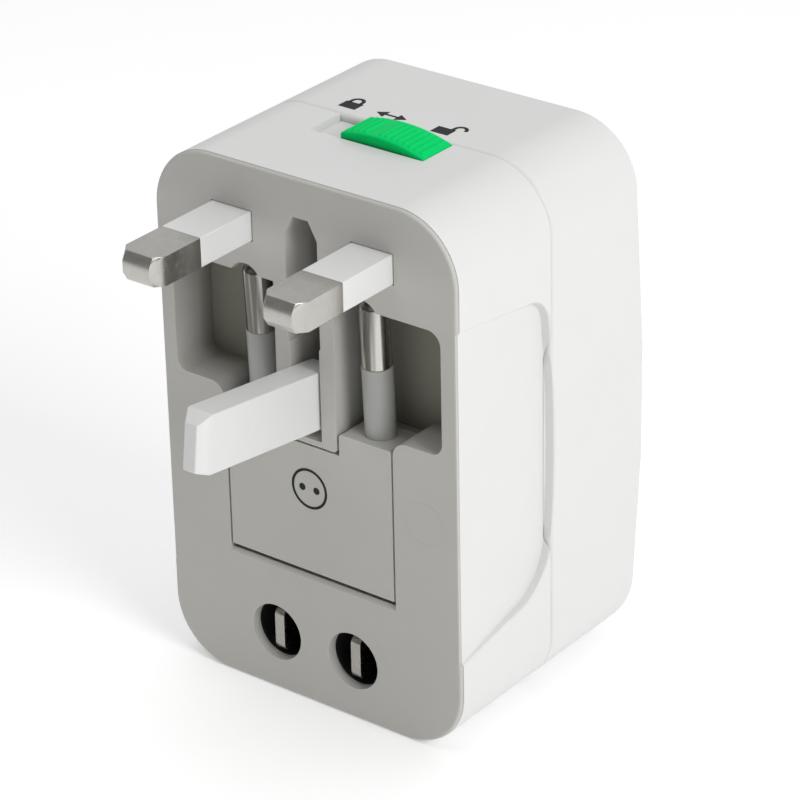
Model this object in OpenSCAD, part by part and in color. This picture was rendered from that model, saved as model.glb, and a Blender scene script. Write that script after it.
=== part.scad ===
// Universal travel adapter: a front plug module and a rear socket module that pull apart along Y.
// Every sub-part is drawn in the plug frame: X to the right when looking at the plug face,
// Y from the plug face into the body, Z up, with zero midway between the two line pins.
// at_face() then carries it to the part's own frame, whose origin is the centre of the base.

/* [Body] */
// Width of the body, across the pins
body_w = 47.8; // [47:0.1:49]
// Height of the body, from the base to the top
body_h = 75; // [74:0.1:77]
// Depth of the body at its thickest, without the pins
body_d = 40.8; // [40:0.1:42]
// Depth of the front module, from the plug face to the parting line
front_d = 19.6; // [19.4:0.1:19.8]
// Depth of the body at its top and bottom edges, where the back slopes away
end_d = 38.4; // [37:0.1:39]
// Radius of the four long corners
corner_r = 9; // [8:0.5:10]
// Wall thickness of both shells
wall = 2; // [1.8:0.1:2.2]
// Height of the line pins above the base
pin_row = 66.7; // [66:0.1:67]

/* [Three pin plug] */
// Length of the line pins beyond the plug face
line_pin_l = 18.2; // [17.2:0.1:18.2]
// Length of the insulating sleeve beyond the plug face
sleeve_l = 9.6; // [9:0.1:9.7]
// Width of a line pin
line_pin_w = 6.35; // [6.2:0.05:6.5]
// Thickness of a line pin
line_pin_t = 4; // [3.9:0.05:4.1]
// Distance between the centres of the line pins
line_pitch = 22.23; // [22.1:0.01:22.4]
// Length of the earth pin beyond the plug face
earth_l = 22.7; // [22.3:0.1:23]
// Height of the earth pin
earth_h = 8; // [7.8:0.1:8.1]
// Angle at which the earth pin stands above the horizontal
earth_rest = 7.5; // [0:0.5:10]

/* [Two round pins] */
// Diameter of a round pin
round_pin_d = 3.9; // [3.8:0.05:4]
// Distance between the centres of the round pins
round_pitch = 18.6; // [18.4:0.1:19]
// Length of the round pins beyond their block
round_pin_l = 19; // [18.5:0.1:19.5]
// Width of the block that carries the round pins
block_w = 26.7; // [26.4:0.1:27]
// Thickness of that block
block_t = 7.1; // [6.8:0.1:7.1]

/* [Flat blades] */
// Distance between the centres of the flat blades
blade_pitch = 12.7; // [12.5:0.1:12.8]
// Height of a flat blade
blade_h = 6.35; // [6.1:0.05:6.5]
// Thickness of a flat blade
blade_t = 1.55; // [1.4:0.05:1.65]
// Radius of the round holes that the blades come through
blade_hole_r = 4.05; // [4:0.05:4.2]

/* [Lock] */
// Travel of the lock slider
lock_travel = 4.9; // [4.6:0.1:5]
// Length of the lock slider
slider_l = 12.9; // [12.5:0.1:13]

/* [Pockets] */
// Depth of the two pockets beside the round pins
pocket_d = 7.4; // [7.4:0.1:8]

/* [Hidden] */
$fn = 64;

// Tones of the moulded plastic and of the metals
white = [0.93, 0.93, 0.92];
grey = [0.66, 0.66, 0.64];
black = [0.04, 0.04, 0.04];
green = [0, 0.8, 0.42];
nickel = [0.78, 0.76, 0.72];
brass = [0.8, 0.64, 0.32];
steel = [0.6, 0.61, 0.63];

// Outer limits of the body in the plug frame
half_w = body_w / 2;
bottom_z = -pin_row;
top_z = body_h - pin_row;
mid_z = (top_z + bottom_z) / 2;
part_gap = 0.1;
plate_fit = 0.1;
skin = 1.6;
lip = 0.6;

// Centres of the plugs
line_x = line_pitch / 2;
round_x = round_pitch / 2;
round_y = 3.3;
blade_x = blade_pitch / 2;
blade_z = -58.1;
slide_gap = 0.15;

// Earth pin: the pivot lies below its centre line, so that the folded pin is flush with the face
earth_w = 4;
earth_z = -22.23;
earth_low = 3;
pivot_y = 3.17;
pivot_z = earth_z - (earth_h / 2 - earth_low) + 0.17;
earth_reach = earth_l + pivot_y;
earth_tip = 1.7;
earth_tip_w = 1.9;
pivot_r = 1;
slot_w = 4.7;
slot_top_w = 5.1;
slot_step_z = -14.3;
slot_floor_z = -27.3;
slot_shoulder_z = 0.6;
slot_top_z = 3.05;
slot_d = 8.8;
rib_t = 2.35;
frame_floor_z = -28.1;
back_wall = 1.4;

// Pockets beside the round pins
pocket_out_x = 21.4;
pocket_in_x = slot_w / 2 + rib_t;
pocket_top_z = -6.65;
pocket_low_z = -23.6;
pocket_r = 2;
pocket_low_r = 1.7;
arch_r = 2.6;
arch_z = -8;

// Block of the round pins, folded into the face
block_top_z = -25.3;
block_low_z = -46.9;
block_gap = 0.3;
block_y = 0.05;
hinge_y = 2.5;
hinge_z = -44.4;
hinge_r = 1;
sweep_r = 3.8;
cavity_d = block_y + block_t + 0.25;
cover_t = 1.15;
cover_gap = 0.05;
block_corner_r = 0.5;
relief_y = 3.5;
relief_z = -29.1;
notch_x = 5.05;
ledge_r = 2.2;
round_lean = 2.5;
round_sleeve_l = 9.9;
round_sleeve_r = 2.03;
round_foot = 3;
core_r = 1.3;

block_screw_x = 4.5;
block_screw_z = -41.5;

// Screw posts of the front module, as [x, z] on the right-hand side
post_r = 2;
front_posts = [[18.3, -1], [18.4, -34.1], [16.5, -60.5]];
rear_posts = [[19.3, -9], [19.3, -50]];
screw_r = 0.9;
screw_fit = 0.05;
screw_head_r = 1.7;
screw_head_h = 0.9;

// Coupling plates on both sides of the parting line
front_plate_y = 17.4;
rear_face_y = front_d + part_gap;
rear_plate_t = 1.6;
carriage_win_x = 15.8;
carriage_win_z = 3.7;
earth_win = [5.2, 9.4];

// Carriage that joins the two line pins
collar_w = 8.4;
collar_z = 3.3;
collar_y0 = 2.2;
bridge_y0 = 10.8;
bridge_y1 = 14;
bridge_x = 15.4;
line_core = [4.6, 2.4];
line_tip = [2, 0.75];
line_tip_side = 1.05;
line_tip_half_h = 0.75;

// Lock slider, drawn where it leaves the modules free to pull apart
win_x = 9;
win_y = 13.3;
floor_z = top_z - 1;
slider_x0 = win_x - 0.1 - slider_l;
slider_y0 = win_y + 0.1;
slider_y1 = front_d - 0.15;
crown_h = 1.55;
crown_r = 14.6;
stem_x = [1.6, 7.1];
stem_y = [15.2, 17.8];
latch_z = [4.4, 5.3];
head_z = [4.4, 6.05];
head_y = [21.5, 22.6];

// Rear module and its socket
socket_w = 32;
socket_h = 44;
socket_z = -31.75;
socket_y = 39.2;
socket_base_y = 37;
socket_lip = 1.2;
// Linings of the blade holes
tube_y0 = 1.5;
tube_y1 = 9.3;
tube_r = 4.75;
line_hole_z = -42.5;
earth_hole_z = line_hole_z + line_pitch;
back_flat = [-40, -23.5];
hub_r = 5.7;
hub_flange_r = 6.15;
retainer_y = 23.7;
leaf = 0.4;

// Moves a child from the plug frame to the part's frame
module at_face() {
  translate([0, -body_d / 2, pin_row]) children();
}

// Extrudes an X-Z outline along Y
module along_y(y0, y1) {
  translate([0, y1, 0]) rotate([90, 0, 0]) linear_extrude(height = y1 - y0) children();
}

// Extrudes a Y-Z outline along X
module along_x(x0, x1) {
  translate([x0, 0, 0]) rotate([90, 0, 90]) linear_extrude(height = x1 - x0) children();
}

// Box between two corners
module block_from(low, high) {
  translate(low) cube(high - low);
}

// Repeats a child on the left
module both_sides() {
  children();
  mirror([1, 0, 0]) children();
}

// Rounded rectangle about the origin, made of squares and true circles
module round_rect(w, h, r) {
  square([w - 2 * r, h], center = true);
  square([w, h - 2 * r], center = true);
  for (x = [-1, 1], z = [-1, 1]) translate([x * (w / 2 - r), z * (h / 2 - r)]) circle(r);
}

// Outline of the body, drawn in by an inset
module body_outline(inset) {
  translate([0, mid_z]) round_rect(body_w - 2 * inset, body_h - 2 * inset, corner_r - inset);
}

// Cylinder along Y
module rod_y(x, z, r, y0, y1) {
  translate([x, y1, z]) rotate([90, 0, 0]) cylinder(r = r, h = y1 - y0);
}

// Cylinder along X
module rod_x(y, z, r, x0, x1) {
  translate([x0, y, z]) rotate([0, 90, 0]) cylinder(r = r, h = x1 - x0);
}

// Thumb grip: a D-shaped scoop that deepens towards the parting line
module grip_outline(r) {
  translate([15.2, -13.6]) circle(r, $fn = 32);
  translate([15.9, -30]) circle(r, $fn = 32);
  translate([15, -46.2]) circle(r, $fn = 32);
  translate([-1, -53]) square([0.1, 0.1]);
  translate([-1, -6.1]) square([0.1, 0.1]);
}

module grip_cutter() {
  rim_r = 4.6;
  floor_r = 3.3;
  slope = 2.64;
  hull() {
    along_x(half_w + 0.1, half_w + 0.2) hull() grip_outline(rim_r);
    translate([half_w - 0.3, 0, 0]) rotate([0, 0, slope]) along_x(0, 0.05) hull() grip_outline(floor_r);
  }
}

// Recess for the lock slider in the top of the front shell, with the slot for its stem
module lock_window() {
  block_from([-win_x, win_y, floor_z], [win_x, front_d + 1, top_z + 1]);
  block_from([stem_x[0] - lock_travel - 0.3, stem_y[0] - 0.2, top_z - wall - 1],
             [stem_x[1] + 0.3, stem_y[1] + 0.2, top_z]);
}

module front_shell() {
  color(white) at_face() difference() {
    along_y(lip, front_d) body_outline(0);
    along_y(-1, front_d + 1) body_outline(wall);
    both_sides() grip_cutter();
    lock_window();
  }
}

// Slot of the earth pin: a straight channel whose top takes the shape of the pin's tip
module earth_slot_outline() {
  translate([-slot_w / 2, slot_floor_z]) square([slot_w, slot_step_z - slot_floor_z + 0.01]);
  translate([-slot_top_w / 2, slot_step_z]) square([slot_top_w, slot_shoulder_z - slot_step_z]);
  polygon([[-slot_top_w / 2, slot_shoulder_z], [slot_top_w / 2, slot_shoulder_z],
           [1.2, slot_top_z], [-1.2, slot_top_z]]);
}

// One pocket, with the arch over the tip of the round pin
module pocket_outline() {
  w = pocket_out_x - pocket_in_x;
  h = pocket_top_z - pocket_low_z;
  difference() {
    translate([pocket_in_x, pocket_low_z]) square([w, h]);
    translate([pocket_out_x - pocket_r, pocket_top_z - pocket_r]) square(pocket_r + 1);
    translate([pocket_out_x - pocket_low_r, pocket_low_z - 1]) square(pocket_low_r + 1);
  }
  translate([pocket_out_x - pocket_r, pocket_top_z - pocket_r]) circle(pocket_r);
  translate([pocket_out_x - pocket_low_r, pocket_low_z + pocket_low_r]) circle(pocket_low_r);
  translate([round_x, arch_z]) circle(arch_r);
  // Rounded corner between the ledge and the side of the block's cavity
  difference() {
    translate([pocket_in_x, pocket_low_z - ledge_r]) square([block_w / 2 + block_gap + ledge_r - pocket_in_x, ledge_r + 0.1]);
    translate([block_w / 2 + block_gap + ledge_r, pocket_low_z - ledge_r]) circle(ledge_r);
    translate([0, pocket_low_z - ledge_r - 1]) square([notch_x - block_gap, ledge_r + 2]);
  }
}

// Frame of the earth pin, which stands in the cavity of the folding block
module frame_outline() {
  r = block_corner_r;
  translate([-pocket_in_x, frame_floor_z + r]) square([2 * pocket_in_x, 10]);
  translate([-pocket_in_x + r, frame_floor_z]) square([2 * (pocket_in_x - r), 10]);
  for (x = [-1, 1]) translate([x * (pocket_in_x - r), frame_floor_z + r]) circle(r);
}

// Cavity of the folding block
module block_cavity() {
  along_y(-1, cavity_d) difference() {
    translate([-block_w / 2 - block_gap, block_low_z - block_gap])
      square([block_w + 2 * block_gap, pocket_low_z - block_low_z + block_gap]);
    frame_outline();
  }
  rod_x(hinge_y, hinge_z, sweep_r, -block_w / 2 - block_gap, block_w / 2 + block_gap);
  // Bevel of the face below the block
  along_x(-block_w / 2 - block_gap, block_w / 2 + block_gap)
    polygon([[-0.01, block_low_z], [-0.01, block_low_z - 1.2], [0.75, block_low_z - 0.4], [0.75, block_low_z]]);
}

// Walls of the moulding behind the face
module fascia_tub() {
  // Pockets
  block_from([-21.75, skin, pocket_low_z - 1.4], [21.75, pocket_d + back_wall, -5]);
  block_from([-round_x - 3.8, skin, -6], [round_x + 3.8, pocket_d + back_wall, -4.4]);
  // Block cavity and its hinge
  block_from([-15.6, skin, block_low_z - 3.2], [15.6, cavity_d + back_wall, pocket_low_z]);
  // Earth pin slot
  block_from([-4.2, skin, frame_floor_z - 0.6], [4.2, slot_d + back_wall, slot_top_z + 1.2]);
  // Tubes for the flat blades
  both_sides() rod_y(blade_x, blade_z, 5.4, skin, 16);
  // Screw posts
  both_sides() for (p = front_posts) rod_y(p[0], p[1], post_r, skin, front_plate_y - 0.05);
}

module front_fascia() {
  edge = 0.45;
  color(grey) at_face() difference() {
    union() {
      // Face plate: a softened rim, then the lip that plugs into the shell
      hull() {
        along_y(0, 0.01) body_outline(edge + 0.1);
        along_y(edge * 0.3, edge * 0.31) body_outline(edge * 0.3 + 0.1);
        along_y(edge, lip - 0.05) body_outline(0.05);
      }
      along_y(0.3, 3) body_outline(wall + plate_fit);
      fascia_tub();
    }
    // Behind the plate the moulding is thin
    difference() {
      along_y(skin, 3.1) body_outline(wall + plate_fit + 1.2);
      fascia_tub();
    }
    both_sides() grip_cutter();
    // Line pin slots
    both_sides() translate([line_x, 0, 0])
      block_from([-line_pin_w / 2 - slide_gap, -1, -line_pin_t / 2 - 0.1], [line_pin_w / 2 + slide_gap, 3.5, line_pin_t / 2 + 0.1]);
    along_y(-1, slot_d) earth_slot_outline();
    // Room behind the face for the corner of the tip as it swings past
    block_from([-1.2, 0.4, slot_top_z - 0.1], [1.2, slot_d, slot_top_z + 0.5]);
    both_sides() along_y(-1, pocket_d) pocket_outline();
    block_cavity();
    rod_x(pivot_y, pivot_z, pivot_r + 0.02, -4.55, 4.55);
    rod_x(hinge_y, hinge_z, hinge_r + 0.02, -16, 16);
    both_sides() {
      rod_y(blade_x, blade_z, blade_hole_r, -1, tube_y0 + 0.1);
      rod_y(blade_x, blade_z, tube_r + 0.05, tube_y0, 17);
    }
    both_sides() for (p = front_posts) rod_y(p[0], p[1], screw_r + screw_fit, 6, 18);
  }
}

// Black lining of a blade hole, pushed in from behind
module blade_tube() {
  difference() {
    rod_y(blade_x, blade_z, tube_r, tube_y0 + 0.02, tube_y1);
    rod_y(blade_x, blade_z, blade_hole_r, 0, tube_y1 + 1);
  }
}

module blade_tube_live() { color(black) at_face() blade_tube(); }
module blade_tube_neutral() { color(black) at_face() mirror([1, 0, 0]) blade_tube(); }

module front_coupling_plate() {
  color(grey) at_face() difference() {
    along_y(front_plate_y, front_d - 0.1) body_outline(wall + plate_fit);
    block_from([-carriage_win_x, 0, -carriage_win_z], [carriage_win_x, front_d + 1, carriage_win_z]);
    // Room for the latch under the top wall
    block_from([-10, 0, carriage_win_z - 1], [10, front_d + 1, top_z]);
    // Way through for the earth pin of a plug in the socket
    translate([-earth_win[0] / 2, 0, earth_hole_z - earth_win[1] / 2]) cube([earth_win[0], front_d + 1, earth_win[1]]);
    both_sides() rod_y(blade_x, blade_z, blade_hole_r, 0, front_d + 1);
    both_sides() for (p = front_posts) {
      rod_y(p[0], p[1], screw_r + 0.1, 0, front_d + 1);
      rod_y(p[0], p[1], screw_head_r + 0.15, front_d - 0.1 - screw_head_h - 0.1, front_d + 1);
    }
  }
}

// Pan-headed screw whose head faces the parting line, with a crossed recess
module screw_y(x, z, head_y, length, dir) {
  translate([x, head_y, z]) rotate([dir > 0 ? 90 : -90, 0, 0]) difference() {
    union() {
      translate([0, 0, -screw_head_h]) cylinder(r = screw_head_r, h = screw_head_h);
      cylinder(r = screw_r, h = length);
    }
    for (a = [0, 90]) rotate([0, 0, a]) translate([-1, -0.2, -screw_head_h - 1]) cube([2, 0.4, 1.5]);
  }
}

module front_screws() {
  color(steel) at_face() both_sides() for (p = front_posts)
    screw_y(p[0], p[1], front_d - 0.2 - screw_head_h, 10, 1);
}

// Line pin: a solid tip, bevelled on all four sides, on a thinner core that runs back to the carriage
module line_pin() {
  w = line_pin_w / 2;
  t = line_pin_t / 2;
  l = line_pin_l;
  hull() {
    block_from([-w, -l + line_tip[0], -t], [w, -sleeve_l, t]);
    block_from([-w + line_tip_side, -l + line_tip[1], -t], [w - line_tip_side, -sleeve_l, t]);
    block_from([-w + line_tip_side, -l, -line_tip_half_h], [w - line_tip_side, -sleeve_l, line_tip_half_h]);
  }
  block_from([-line_core[0] / 2, -sleeve_l - 0.1, -line_core[1] / 2], [line_core[0] / 2, bridge_y1 - 0.6, line_core[1] / 2]);
}

module line_sleeve() {
  difference() {
    block_from([-line_pin_w / 2, -sleeve_l, -line_pin_t / 2], [line_pin_w / 2, collar_y0 + 3, line_pin_t / 2]);
    block_from([-line_core[0] / 2, -sleeve_l - 1, -line_core[1] / 2], [line_core[0] / 2, collar_y0 + 4, line_core[1] / 2]);
  }
}

module uk_pin_live() { color(nickel) at_face() translate([line_x, 0, 0]) line_pin(); }
module uk_pin_neutral() { color(nickel) at_face() translate([-line_x, 0, 0]) line_pin(); }
module uk_sleeve_live() { color(white) at_face() translate([line_x, 0, 0]) line_sleeve(); }
module uk_sleeve_neutral() { color(white) at_face() translate([-line_x, 0, 0]) line_sleeve(); }

// Carriage: a collar round each line pin and a bridge behind them
module uk_pin_carriage() {
  color(white) at_face() difference() {
    union() {
      both_sides() translate([line_x, 0, 0])
        block_from([-collar_w / 2, collar_y0, -collar_z], [collar_w / 2, bridge_y1, collar_z]);
      block_from([-bridge_x, bridge_y0, -collar_z], [bridge_x, bridge_y1, collar_z]);
    }
    both_sides() translate([line_x, 0, 0]) {
      block_from([-line_pin_w / 2, 0, -line_pin_t / 2], [line_pin_w / 2, collar_y0 + 3, line_pin_t / 2]);
      block_from([-line_core[0] / 2, 0, -line_core[1] / 2], [line_core[0] / 2, bridge_y1 - 0.6, line_core[1] / 2]);
      // Window through which the wiper reaches the core
      block_from([-1.5, 6, -collar_z - 1], [1.5, 9, -line_core[1] / 2]);
    }
  }
}

// Wiper under the carriage, from the busbar to the line pin
module wiper() {
  block_from([-1.2, 5.5, -4.25], [1.2, 16.1, -3.85]);
  block_from([-1.2, 6.4, -4.25], [1.2, 8.6, -3.5]);
}

module uk_wiper_live() { color(brass) at_face() translate([line_x, 0, 0]) wiper(); }
module uk_wiper_neutral() { color(brass) at_face() translate([-line_x, 0, 0]) wiper(); }

// Earth pin: moulded in one piece, with a bore for its pivot and two bevels at the tip
module earth_pin() {
  high = earth_h - earth_low;
  color(white) at_face() translate([0, pivot_y, pivot_z]) rotate([-earth_rest, 0, 0]) difference() {
    union() {
      hull() {
        block_from([-earth_tip_w / 2, -earth_reach, -earth_low + 0.4], [earth_tip_w / 2, -earth_reach + 0.1, high - 1.4]);
        block_from([-earth_w / 2, -earth_reach + earth_tip, -earth_low], [earth_w / 2, 0, high]);
      }
      rod_x(0, 0, earth_low, -earth_w / 2, earth_w / 2);
      block_from([-earth_w / 2, -1, 0], [earth_w / 2, earth_low, high - 2]);
    }
    rod_x(0, 0, pivot_r + 0.05, -5, 5);
  }
}

module earth_pin_pivot() {
  color(steel) at_face() rod_x(pivot_y, pivot_z, pivot_r, -4.5, 4.5);
}

// Leaf that holds the earth pin open or shut
module earth_pin_detent_spring() {
  color(steel) at_face() block_from([-1.6, slot_d - 0.35, -27], [1.6, slot_d - 0.05, -16]);
}

// Block of the round pins, with shoulders on both sides of a notch
module block_profile(notch_z) {
  r = block_corner_r;
  w = block_w / 2 - notch_x;
  h = block_top_z - block_low_z;
  translate([-block_w / 2, block_low_z]) square([block_w, notch_z - block_low_z]);
  both_sides() {
    translate([notch_x, block_low_z]) square([w, h - r]);
    translate([notch_x + r, block_low_z]) square([w - 2 * r, h]);
    for (x = [notch_x + r, block_w / 2 - r]) translate([x, block_top_z - r]) circle(r);
  }
}

// Slant at the foot of the block's back, which lets it turn in its cavity
module block_heel() {
  back_y = block_y + block_t;
  along_x(-block_w, block_w) polygon([[back_y + 1, hinge_z], [back_y, hinge_z], [back_y - 2.1, block_low_z],
                                      [back_y - 2.1, block_low_z - 1], [back_y + 1, block_low_z - 1]]);
}

module euro_block() {
  shell_t = 1.3;
  back_y = block_y + block_t - cover_t - cover_gap;
  color(grey) at_face() difference() {
    union() {
      difference() {
        along_y(block_y, back_y) block_profile(frame_floor_z - block_gap);
        // Hollow behind the face of the block
        both_sides() block_from([1, block_y + shell_t + 0.2, -43.2], [block_w / 2 - shell_t, 10, frame_floor_z - 1.6]);
      }
      both_sides() rod_y(block_screw_x, block_screw_z, 1.6, 1, back_y);
    }
    block_from([-notch_x, relief_y, relief_z], [notch_x, 10, -20]);
    block_heel();
    both_sides() {
      rod_x(hinge_y, hinge_z, hinge_r + 0.05, 10, 16);
      translate([round_x, 0, 0]) round_frame() {
        translate([0, 0, -9]) cylinder(r = core_r + 0.02, h = 20);
        translate([0, 0, -round_foot - 0.1]) cylinder(r = round_sleeve_r + 0.02, h = 20);
      }
      rod_y(block_screw_x, block_screw_z, 0.6, 1, 10);
    }
  }
}

module euro_block_cover() {
  back_y = block_y + block_t;
  color(grey) at_face() difference() {
    along_y(back_y - cover_t, back_y) block_profile(relief_z);
    block_heel();
    both_sides() {
      rod_y(block_screw_x, block_screw_z, 0.7, 0, 10);
      rod_y(block_screw_x, block_screw_z, 1.15, back_y - 0.6, 10);
    }
  }
}

module euro_block_screws() {
  back_y = block_y + block_t;
  color(steel) at_face() both_sides() {
    rod_y(block_screw_x, block_screw_z, 0.55, 1.9, back_y - 0.5);
    rod_y(block_screw_x, block_screw_z, 1.1, back_y - 0.55, back_y - 0.05);
  }
}

// Frame of a round pin: it leaves the top of the block and leans towards the face
module round_frame() {
  translate([0, round_y, block_top_z]) rotate([round_lean, 0, 0]) children();
}

// Round pin: a domed nickel end on a core that runs down through the sleeve
module round_pin() {
  r = round_pin_d / 2;
  dome = 1;
  round_frame() rotate_extrude() {
    translate([0, -8.5]) square([core_r, round_sleeve_l + 8.6]);
    translate([0, round_sleeve_l]) square([r, round_pin_l - dome - round_sleeve_l]);
    translate([0, round_pin_l - dome - 0.1]) square([r - dome, dome + 0.1]);
    intersection() {
      translate([r - dome, round_pin_l - dome]) circle(dome);
      square([r, round_pin_l]);
    }
  }
}

// Sleeve of a round pin, with a foot inside the block
module round_sleeve() {
  round_frame() difference() {
    translate([0, 0, -round_foot]) cylinder(r = round_sleeve_r, h = round_sleeve_l + round_foot);
    translate([0, 0, -10]) cylinder(r = core_r, h = 30);
  }
}

// Strip in the block, from the foot of the round pin to the hinge
module block_strip() {
  block_from([round_x - 1, 3.3, -43], [round_x + 1, 4, -32.5]);
  block_from([round_x - 1, 2.2, -43], [12, 4, -42.3]);
}

module euro_pin_live() { color(nickel) at_face() { translate([round_x, 0, 0]) round_pin(); block_strip(); } }
module euro_pin_neutral() { color(nickel) at_face() mirror([1, 0, 0]) { translate([round_x, 0, 0]) round_pin(); block_strip(); } }
module euro_sleeve_live() { color(grey) at_face() translate([round_x, 0, 0]) round_sleeve(); }
module euro_sleeve_neutral() { color(grey) at_face() translate([-round_x, 0, 0]) round_sleeve(); }
module euro_pivot_live() { color(brass) at_face() rod_x(hinge_y, hinge_z, hinge_r, 10.1, 15.9); }
module euro_pivot_neutral() { color(brass) at_face() rod_x(hinge_y, hinge_z, hinge_r, -15.9, -10.1); }

// Busbar behind the moulding: from the blade contact past the block's hinge to the line pin's wiper
module front_busbar() {
  y0 = 16.1;
  y1 = 16.7;
  difference() {
    union() {
      rod_y(blade_x, blade_z, 5.2, y0, y1);
      block_from([9, y0, blade_z - 1], [13.6, y1, blade_z + 1.5]);
      block_from([11.8, y0, blade_z], [13.6, y1, -3.9]);
      block_from([line_x - 1.2, y0, -6], [13.6, y1, -3.85]);
      // Arm to the pivot of the block
      block_from([12.5, y0, hinge_z - 1], [16.5, y1, hinge_z + 1]);
      block_from([16, 1.6, hinge_z - 1], [16.5, y1, hinge_z + 1]);
    }
    rod_y(blade_x, blade_z, 3.6, 0, 20);
  }
}

module front_busbar_live() { color(brass) at_face() front_busbar(); }
module front_busbar_neutral() { color(brass) at_face() mirror([1, 0, 0]) front_busbar(); }

// Sprung tube that grips a flat blade at either angle
module blade_contact() {
  difference() {
    rod_y(blade_x, blade_z, 4.4, 9.5, 16.05);
    rod_y(blade_x, blade_z, 3.6, 9, 17);
    block_from([blade_x - 0.5, 9, blade_z - 6], [blade_x + 0.5, 15, blade_z]);
  }
}

module blade_contact_live() { color(brass) at_face() blade_contact(); }
module blade_contact_neutral() { color(brass) at_face() mirror([1, 0, 0]) blade_contact(); }

// Lock slider: an arched, ridged cap, a stem through the shell and a latch that hooks the rear module
module lock_slider() {
  mid_x = slider_x0 + slider_l / 2;
  ridges = [-21.5, -19, -16.5, -14, 0.5, 3, 5.5, 8, 10.5, 13, 15.5, 18, 20.5];
  color(green) at_face() {
    intersection() {
      block_from([slider_x0, slider_y0, floor_z + 0.05], [slider_x0 + slider_l, slider_y1, top_z + 3]);
      union() {
        translate([mid_x, slider_y1, top_z + crown_h - crown_r]) rotate([90, 0, 0])
          cylinder(r = crown_r, h = slider_y1 - slider_y0, $fn = 180);
        for (a = ridges) translate([mid_x + crown_r * sin(a), slider_y1, top_z + crown_h - crown_r * (1 - cos(a))])
          rotate([90, 0, 0]) cylinder(r = 0.22, h = slider_y1 - slider_y0, $fn = 24);
      }
    }
    block_from([stem_x[0], stem_y[0], latch_z[0]], [stem_x[1], stem_y[1], floor_z + 0.5]);
    block_from([stem_x[0], stem_y[0], latch_z[0]], [stem_x[1], head_y[1], latch_z[1]]);
    block_from([stem_x[0], head_y[0], head_z[0]], [stem_x[1], head_y[1], head_z[1]]);
  }
}

// Leaf under the top wall that clicks the lock slider into either place
module lock_detent_spring() {
  leaf_y = [14.2, 14.6];
  leaf_z = [4.7, top_z - wall - 0.05];
  color(steel) at_face() {
    block_from([-8.5, leaf_y[0], leaf_z[0]], [8.5, leaf_y[1], leaf_z[1]]);
    // Bump that the stem snaps over
    block_from([-0.4, leaf_y[0], leaf_z[0]], [1.2, leaf_y[1] + 0.5, leaf_z[1]]);
  }
}

// Side profile of the rear module, drawn in by an inset; its back is flat in the middle
module rear_profile(inset) {
  polygon([[rear_face_y - 2, top_z + 1], [end_d - inset - 0.1, top_z + 1], [body_d - inset, back_flat[1]],
           [body_d - inset, back_flat[0]], [end_d - inset - 0.1, bottom_z - 1], [rear_face_y - 2, bottom_z - 1]]);
}

module rear_shell() {
  color(white) at_face() difference() {
    union() {
      difference() {
        intersection() {
          along_y(rear_face_y, body_d + 1) body_outline(0);
          along_x(-half_w, half_w) rear_profile(0);
        }
        intersection() {
          along_y(0, body_d) body_outline(wall);
          along_x(-half_w, half_w) rear_profile(wall);
        }
      }
      intersection() {
        both_sides() for (p = rear_posts) rod_y(p[0], p[1], post_r, rear_face_y + rear_plate_t + 0.05, body_d);
        along_x(-half_w, half_w) rear_profile(wall / 2);
      }
    }
    both_sides() grip_cutter();
    along_y(35, body_d + 1) translate([0, socket_z]) round_rect(socket_w, socket_h, 5);
    both_sides() for (p = rear_posts) rod_y(p[0], p[1], screw_r + screw_fit, 18, 33);
  }
}

module rear_coupling_plate() {
  y1 = rear_face_y + rear_plate_t;
  color(grey) at_face() difference() {
    along_y(rear_face_y, y1) body_outline(wall + plate_fit);
    block_from([-carriage_win_x, 0, -carriage_win_z], [carriage_win_x, 30, carriage_win_z]);
    // Keyhole for the latch: the head enters on the right and slides behind the lip on the left
    block_from([stem_x[0] - 0.3, 0, 0], [stem_x[1] + 0.3, 30, top_z]);
    block_from([stem_x[0] - lock_travel - 0.3, 0, 0], [stem_x[1], 30, latch_z[1] + 0.15]);
    translate([-earth_win[0] / 2, 0, earth_hole_z - earth_win[1] / 2]) cube([earth_win[0], 30, earth_win[1]]);
    both_sides() rod_y(blade_x, blade_z, hub_r + 0.1, 0, 30);
    both_sides() for (p = rear_posts) {
      rod_y(p[0], p[1], screw_r + 0.1, 0, 30);
      rod_y(p[0], p[1], screw_head_r + 0.15, 0, rear_face_y + screw_head_h + 0.05);
    }
  }
}

module rear_screws() {
  color(steel) at_face() both_sides() for (p = rear_posts)
    screw_y(p[0], p[1], rear_face_y + screw_head_h, 10, -1);
}

// One line hole of the socket: takes a rectangular, a round, an upright or a slanted pin
module line_hole() {
  translate([7.6, -2.3]) square([7.2, 4.6]);
  translate([blade_x - 1.1, -3.9]) square([2.2, 7.8]);
  translate([blade_x + 0.4, 0]) rotate(30) square([2.2, 8.6], center = true);
  translate([6.4, -2.3]) square([1.3, 4.6]);
}

module socket_holes(y0, y1) {
  along_y(y0, y1) {
    translate([0, line_hole_z]) { line_hole(); mirror([1, 0]) line_hole(); }
    translate([-2.3, earth_hole_z - 4.3]) square([4.6, 8.6]);
    translate([0, line_hole_z + 11.9]) circle(2.7);
  }
}

module socket_face() {
  color(grey) at_face() difference() {
    union() {
      along_y(socket_base_y, socket_y) translate([0, socket_z]) round_rect(socket_w - 0.2, socket_h - 0.2, 4.9);
      intersection() {
        along_y(35.4, socket_y) translate([0, socket_z]) round_rect(socket_w + 2 * socket_lip, socket_h + 2 * socket_lip, 6);
        along_x(-half_w, half_w) rear_profile(wall + 0.1);
      }
    }
    socket_holes(30, 45);
    // Guide ring for the plug
    difference() {
      rod_y(0, socket_z, 15.2, socket_y - 0.5, 45);
      rod_y(0, socket_z, 14.4, 30, 46);
    }
  }
}

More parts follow.
